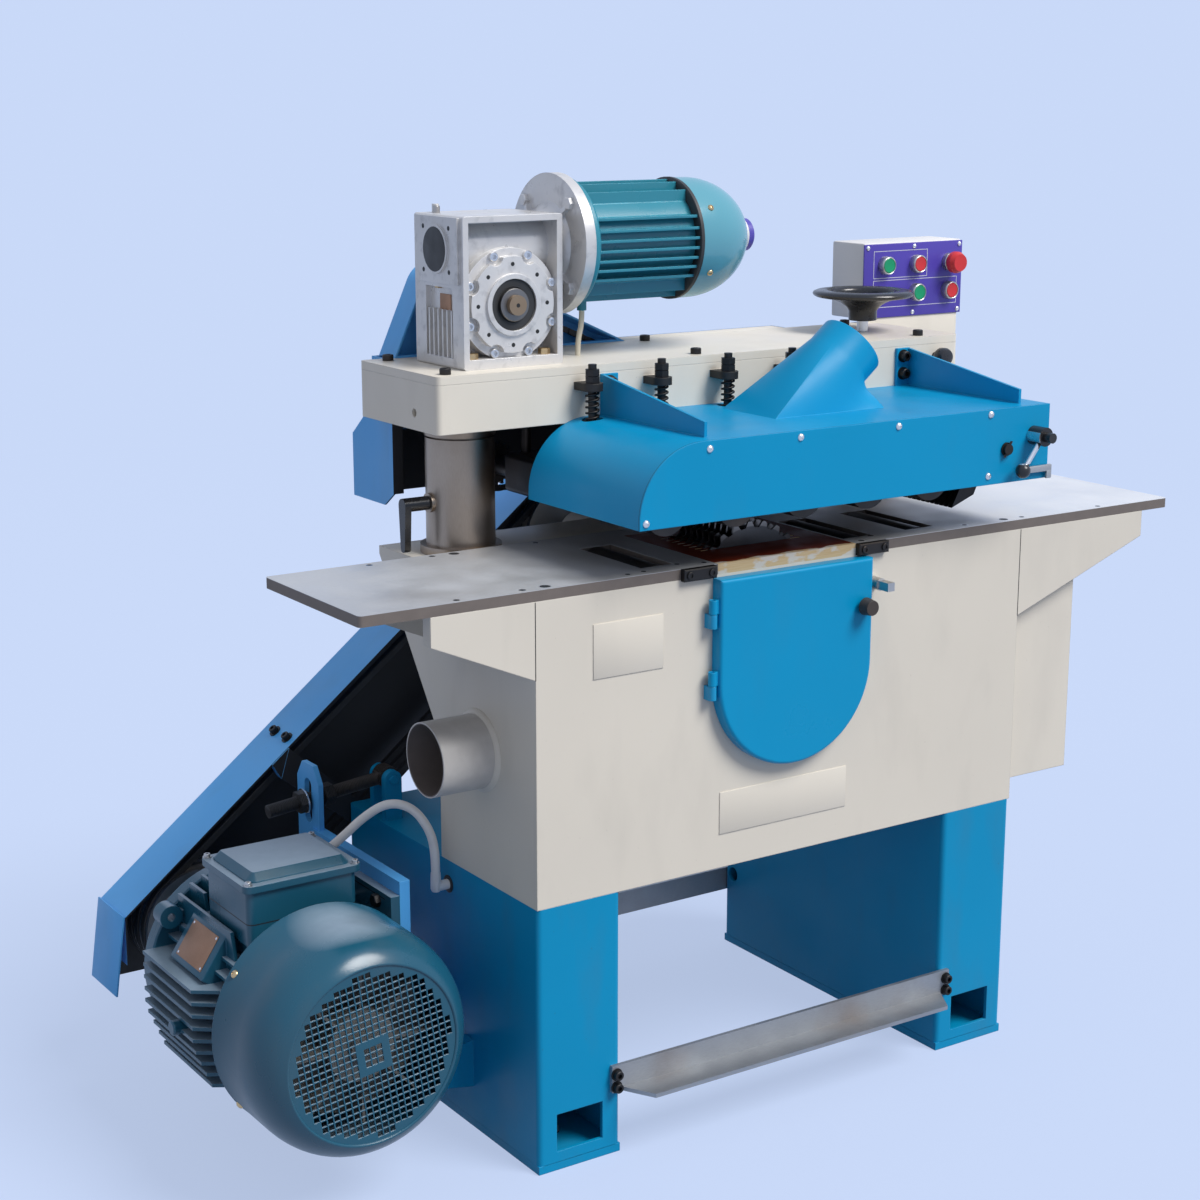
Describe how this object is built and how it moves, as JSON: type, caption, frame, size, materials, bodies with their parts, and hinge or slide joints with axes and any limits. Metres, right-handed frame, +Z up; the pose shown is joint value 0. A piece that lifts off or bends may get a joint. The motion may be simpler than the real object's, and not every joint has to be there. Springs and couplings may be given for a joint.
{
  "type": "multi-rip saw",
  "caption": "Floor-standing multi-rip saw with a steel table, sprung feed rollers under a blue hood, a rising head with a worm-geared feed motor, and a belt-driven blade arbor.",
  "frame": {"origin": "floor level, centred between the four floor pads", "axes": "+X along the table towards the infeed end, +Y to the back of the machine, +Z up"},
  "size_m": [1.564, 0.7454, 1.351],
  "materials": {
    "blue_paint": "semi-gloss paint",
    "cream_paint": "satin paint",
    "motor_green": "gloss enamel",
    "feed_motor_green": "gloss enamel",
    "ground_steel": "ground",
    "bare_steel": "machined",
    "black_steel": "black oxide",
    "cast_aluminium": "cast",
    "board": "faced board",
    "belt_rubber": "matt",
    "cable_sheath": "satin",
    "panel_blue": "satin",
    "box_grey": "satin",
    "button_red": "gloss",
    "button_green": "gloss",
    "spring_steel": "black spring steel",
    "guard_blue": "semi-gloss paint",
    "wheel_black": "gloss"
  },
  "bodies": {
    "bed": {"pedestals": "blue_paint", "foot_pads": "black_steel", "cross_braces": "bare_steel", "bed_body": "cream_paint", "table_plate": "ground_steel", "insert_board": "board", "clamp_blocks": "black_steel", "columns": "ground_steel", "arbor_housing": "cream_paint", "belt_guard": "guard_blue", "tension_rod": "bare_steel", "drive_belts": "belt_rubber", "motor_conduit": "cable_sheath"},
    "arbor": {"arbor_shaft": "bare_steel", "saw_blades": "ground_steel"},
    "motor_base": {"motor_plate": "guard_blue", "motor_frame": "motor_green", "fan_cowl": "motor_green"},
    "rotor": {"motor_rotor": "bare_steel"},
    "side_door": {"door": "blue_paint"},
    "adjuster": {"adjust_shaft": "bare_steel"},
    "column_clamp": {"column_lever": "black_steel"},
    "head": {"beam": "cream_paint", "top_plate": "cream_paint", "guide_posts": "ground_steel", "gearbox_case": "cast_aluminium", "feed_motor": "feed_motor_green", "chain_guard": "guard_blue", "hood": "blue_paint", "control_box": "box_grey", "control_panel": "panel_blue", "feed_chain": "black_steel", "feed_cable": "cable_sheath", "press_spring_1": "spring_steel", "press_spring_2": "spring_steel", "press_spring_3": "spring_steel", "press_spring_4": "spring_steel", "press_spring_5": "spring_steel"},
    "feed_drive": {"feed_sprocket": "bare_steel"},
    "lift_wheel": {"handwheel": "wheel_black"},
    "saw_start": {"start_saw_button": "button_green"},
    "saw_stop": {"stop_saw_button": "button_red"},
    "emergency": {"emergency_stop": "button_red"},
    "feed_start": {"start_feed_button": "button_green"},
    "feed_stop": {"stop_feed_button": "button_red"},
    "lifting_lever": {"finger_lever": "black_steel"},
    "fingers": {"kickback_fingers": "bare_steel"},
    "carrier_1": {"press_carrier_1": "black_steel"},
    "roller_1": {"press_roller_1": "bare_steel"},
    "carrier_2": {"press_carrier_2": "black_steel"},
    "roller_2": {"press_roller_2": "bare_steel"},
    "carrier_3": {"press_carrier_3": "black_steel"},
    "roller_3": {"press_roller_3": "bare_steel"},
    "carrier_4": {"press_carrier_4": "black_steel"},
    "roller_4": {"press_roller_4": "bare_steel"},
    "carrier_5": {"press_carrier_5": "black_steel"},
    "roller_5": {"press_roller_5": "bare_steel"},
    "table_wheel_1": {"table_roller_1": "ground_steel"},
    "table_wheel_2": {"table_roller_2": "ground_steel"},
    "table_wheel_3": {"table_roller_3": "ground_steel"}
  },
  "joints": [
    {"name": "head_lift", "type": "slide", "parent": "bed", "child": "head", "axis": [0, 0, 1], "range_m": [0, 0.06]},
    {"name": "handwheel_turn", "type": "hinge", "parent": "head", "child": "lift_wheel", "pos_m": [0.394, 0.06, 1.143], "axis": [0, 0, 1], "continuous": true},
    {"name": "motor_tilt", "type": "hinge", "parent": "bed", "child": "motor_base", "pos_m": [-0.539, 0, 0.1], "axis": [0, 1, 0], "range_deg": [0, 1.5], "deforming": ["drive_belts", "motor_conduit"]},
    {"name": "motor_spin", "type": "hinge", "parent": "motor_base", "child": "rotor", "pos_m": [-0.679, 0, 0.24], "axis": [0, 1, 0], "continuous": true},
    {"name": "arbor_spin", "type": "hinge", "parent": "bed", "child": "arbor", "pos_m": [-0.018, 0, 0.766], "axis": [0, 1, 0], "continuous": true},
    {"name": "feed_spin", "type": "hinge", "parent": "head", "child": "feed_drive", "pos_m": [-0.306, 0, 1.175], "axis": [0, 1, 0], "continuous": true},
    {"name": "press_1", "type": "slide", "parent": "head", "child": "carrier_1", "axis": [0, 0, 1], "range_m": [0, 0.012], "stiffness_N_per_m": 3000, "springref_m": -0.02, "deforming": ["press_spring_1", "feed_chain"]},
    {"name": "press_2", "type": "slide", "parent": "head", "child": "carrier_2", "axis": [0, 0, 1], "range_m": [0, 0.012], "stiffness_N_per_m": 3000, "springref_m": -0.02, "deforming": ["press_spring_2", "feed_chain"]},
    {"name": "press_3", "type": "slide", "parent": "head", "child": "carrier_3", "axis": [0, 0, 1], "range_m": [0, 0.012], "stiffness_N_per_m": 3000, "springref_m": -0.02, "deforming": ["press_spring_3", "feed_chain"]},
    {"name": "press_4", "type": "slide", "parent": "head", "child": "carrier_4", "axis": [0, 0, 1], "range_m": [0, 0.012], "stiffness_N_per_m": 3000, "springref_m": -0.02, "deforming": ["press_spring_4", "feed_chain"]},
    {"name": "press_5", "type": "slide", "parent": "head", "child": "carrier_5", "axis": [0, 0, 1], "range_m": [0, 0.012], "stiffness_N_per_m": 3000, "springref_m": -0.02, "deforming": ["press_spring_5", "feed_chain"]},
    {"name": "roller_1_spin", "type": "hinge", "parent": "carrier_1", "child": "roller_1", "pos_m": [-0.215, 0, 0.914], "axis": [0, 1, 0], "continuous": true},
    {"name": "roller_2_spin", "type": "hinge", "parent": "carrier_2", "child": "roller_2", "pos_m": [-0.0965, 0, 0.914], "axis": [0, 1, 0], "continuous": true},
    {"name": "roller_3_spin", "type": "hinge", "parent": "carrier_3", "child": "roller_3", "pos_m": [0.022, 0, 0.914], "axis": [0, 1, 0], "continuous": true},
    {"name": "roller_4_spin", "type": "hinge", "parent": "carrier_4", "child": "roller_4", "pos_m": [0.1405, 0, 0.914], "axis": [0, 1, 0], "continuous": true},
    {"name": "roller_5_spin", "type": "hinge", "parent": "carrier_5", "child": "roller_5", "pos_m": [0.259, 0, 0.914], "axis": [0, 1, 0], "continuous": true},
    {"name": "table_roller_1_spin", "type": "hinge", "parent": "bed", "child": "table_wheel_1", "pos_m": [-0.215, 0, 0.8065], "axis": [0, 1, 0], "continuous": true},
    {"name": "table_roller_2_spin", "type": "hinge", "parent": "bed", "child": "table_wheel_2", "pos_m": [0.1405, 0, 0.8065], "axis": [0, 1, 0], "continuous": true},
    {"name": "table_roller_3_spin", "type": "hinge", "parent": "bed", "child": "table_wheel_3", "pos_m": [0.259, 0, 0.8065], "axis": [0, 1, 0], "continuous": true},
    {"name": "door_swing", "type": "hinge", "parent": "bed", "child": "side_door", "pos_m": [-0.154, -0.2874, 0.72], "axis": [0, 0, -1], "range_deg": [0, 110]},
    {"name": "adjust_turn", "type": "hinge", "parent": "bed", "child": "adjuster", "pos_m": [0.139, -0.29, 0.773], "axis": [0, 1, 0], "range_deg": [-90, 90]},
    {"name": "column_lever_turn", "type": "hinge", "parent": "bed", "child": "column_clamp", "pos_m": [-0.4, 0.06, 0.893], "axis": [1, 0, 0], "range_deg": [-60, 60]},
    {"name": "finger_lever_lift", "type": "hinge", "parent": "head", "child": "lifting_lever", "pos_m": [0.395, -0.343, 0.972], "axis": [0, 1, 0], "range_deg": [0, 12]},
    {"name": "finger_lift", "type": "hinge", "parent": "head", "child": "fingers", "pos_m": [0.341, -0.19, 0.956], "axis": [0, 1, 0], "range_deg": [0, 12]},
    {"name": "saw_start_press", "type": "slide", "parent": "head", "child": "saw_start", "axis": [0, 1, 0], "range_m": [0, 0.004], "stiffness_N_per_m": 500, "springref_m": -0.002},
    {"name": "saw_stop_press", "type": "slide", "parent": "head", "child": "saw_stop", "axis": [0, 1, 0], "range_m": [0, 0.004], "stiffness_N_per_m": 500, "springref_m": -0.002},
    {"name": "emergency_press", "type": "slide", "parent": "head", "child": "emergency", "axis": [0, 1, 0], "range_m": [0, 0.004], "stiffness_N_per_m": 500, "springref_m": -0.002},
    {"name": "feed_start_press", "type": "slide", "parent": "head", "child": "feed_start", "axis": [0, 1, 0], "range_m": [0, 0.004], "stiffness_N_per_m": 500, "springref_m": -0.002},
    {"name": "feed_stop_press", "type": "slide", "parent": "head", "child": "feed_stop", "axis": [0, 1, 0], "range_m": [0, 0.004], "stiffness_N_per_m": 500, "springref_m": -0.002}
  ],
  "couplings": [
    {"joint": "handwheel_turn", "follows": "head_lift", "rad_per_m": 1256.6},
    {"joint": "arbor_spin", "follows": "motor_spin", "ratio": 1.1},
    {"joint": "roller_1_spin", "follows": "feed_spin", "ratio": 0.67949},
    {"joint": "roller_2_spin", "follows": "feed_spin", "ratio": 0.67949},
    {"joint": "roller_3_spin", "follows": "feed_spin", "ratio": 0.67949},
    {"joint": "roller_4_spin", "follows": "feed_spin", "ratio": 0.67949},
    {"joint": "roller_5_spin", "follows": "feed_spin", "ratio": 0.67949},
    {"joint": "finger_lift", "follows": "finger_lever_lift", "ratio": 1}
  ]
}
